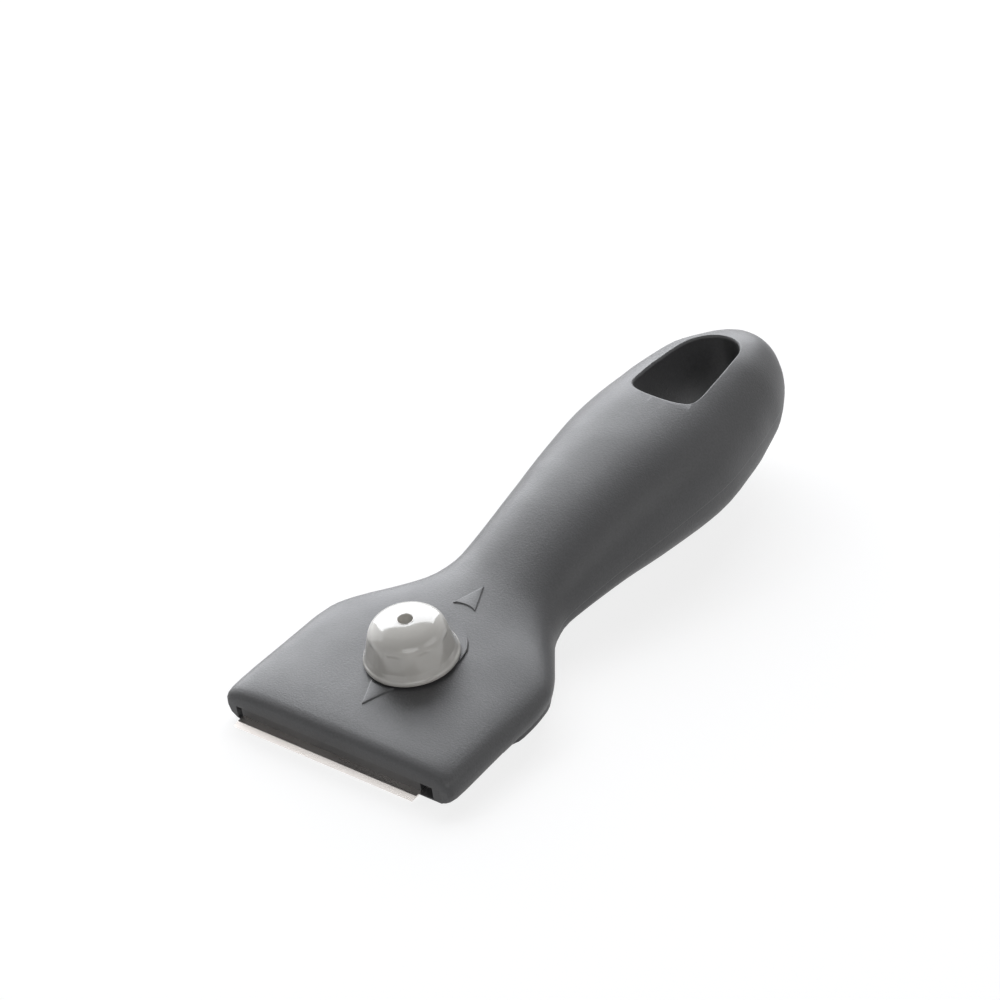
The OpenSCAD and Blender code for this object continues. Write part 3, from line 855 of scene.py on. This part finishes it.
def buildFloor(setup):
    frontY, frontZ, slope = lowestSlope(setup)
    form = bmesh.new()
    bmesh.ops.create_grid(form, x_segments=setup["floorCells"], y_segments=setup["floorCells"],
                          size=setup["floorSize"] / 2)
    bmesh.ops.rotate(form, verts=form.verts, cent=(0, 0, 0),
                     matrix=Matrix.Rotation(math.atan(slope), 3, "X"))
    bmesh.ops.translate(form, verts=form.verts,
                        vec=(0, 0, frontZ - slope * frontY - setup["floorGap"]))
    floor = link("floor", toMesh(form, "floor"))
    material = bpy.data.materials.new("paleFloor")
    material.use_nodes = True
    tree = material.node_tree
    shader = tree.nodes["Principled BSDF"]
    shader.inputs["Emission Color"].default_value = (1, 1, 1, 1)
    shader.inputs["Roughness"].default_value = setup["floorRoughness"]
    shader.inputs["Specular IOR Level"].default_value = 0.0
    # seen directly or in gloss the floor is nearly plain white, and from beneath it is clear
    side = addNode(tree, "NewGeometry")
    seen = seenDirectly(tree)
    whole = addNode(tree, "MixShader")
    colour = mixColours(tree, seen, setup["floorColour"], setup["floorSeen"])
    glow = doMath(tree, "MULTIPLY", seen, setup["floorWhite"])
    connect(tree, colour, shader.inputs["Base Color"])
    connect(tree, glow, shader.inputs["Emission Strength"])
    connect(tree, side.outputs["Backfacing"], whole.inputs["Fac"])
    connect(tree, shader.outputs["BSDF"], whole.inputs[1])
    connect(tree, addNode(tree, "BsdfTransparent").outputs["BSDF"], whole.inputs[2])
    connect(tree, whole.outputs["Shader"], tree.nodes["Material Output"].inputs["Surface"])
    floor.data.materials.append(material)


def buildWorld(setup):
    world = bpy.data.worlds.new("studio")
    world.use_nodes = True
    scene.world = world
    tree = world.node_tree
    background = tree.nodes["Background"]
    background.inputs["Color"].default_value = (1, 1, 1, 1)
    seen = doMath(tree, "MINIMUM", seenDirectly(tree), 1.0)
    strength = remap(tree, seen, 0.0, 1.0, setup["worldFill"], setup["worldShine"])
    connect(tree, strength, background.inputs["Strength"])


def addSoftbox(name, setup):
    lamp = bpy.data.lights.new(name, "AREA")
    lamp.shape = "RECTANGLE"
    lamp.size = setup["width"]
    lamp.size_y = setup["height"]
    lamp.energy = setup["power"]
    lamp.color = setup["colour"]
    box = link(name, lamp)
    direction = Vector(setup["direction"]).normalized()
    box.location = Vector(cameraSetup["aim"]) + direction * stageSetup["lampDistance"]
    box.rotation_euler = direction.to_track_quat("Z", "Y").to_euler()


buildFloor(stageSetup)
buildWorld(stageSetup)
for name, setup in softboxes.items():
    addSoftbox(name, setup)
print("stage lit")
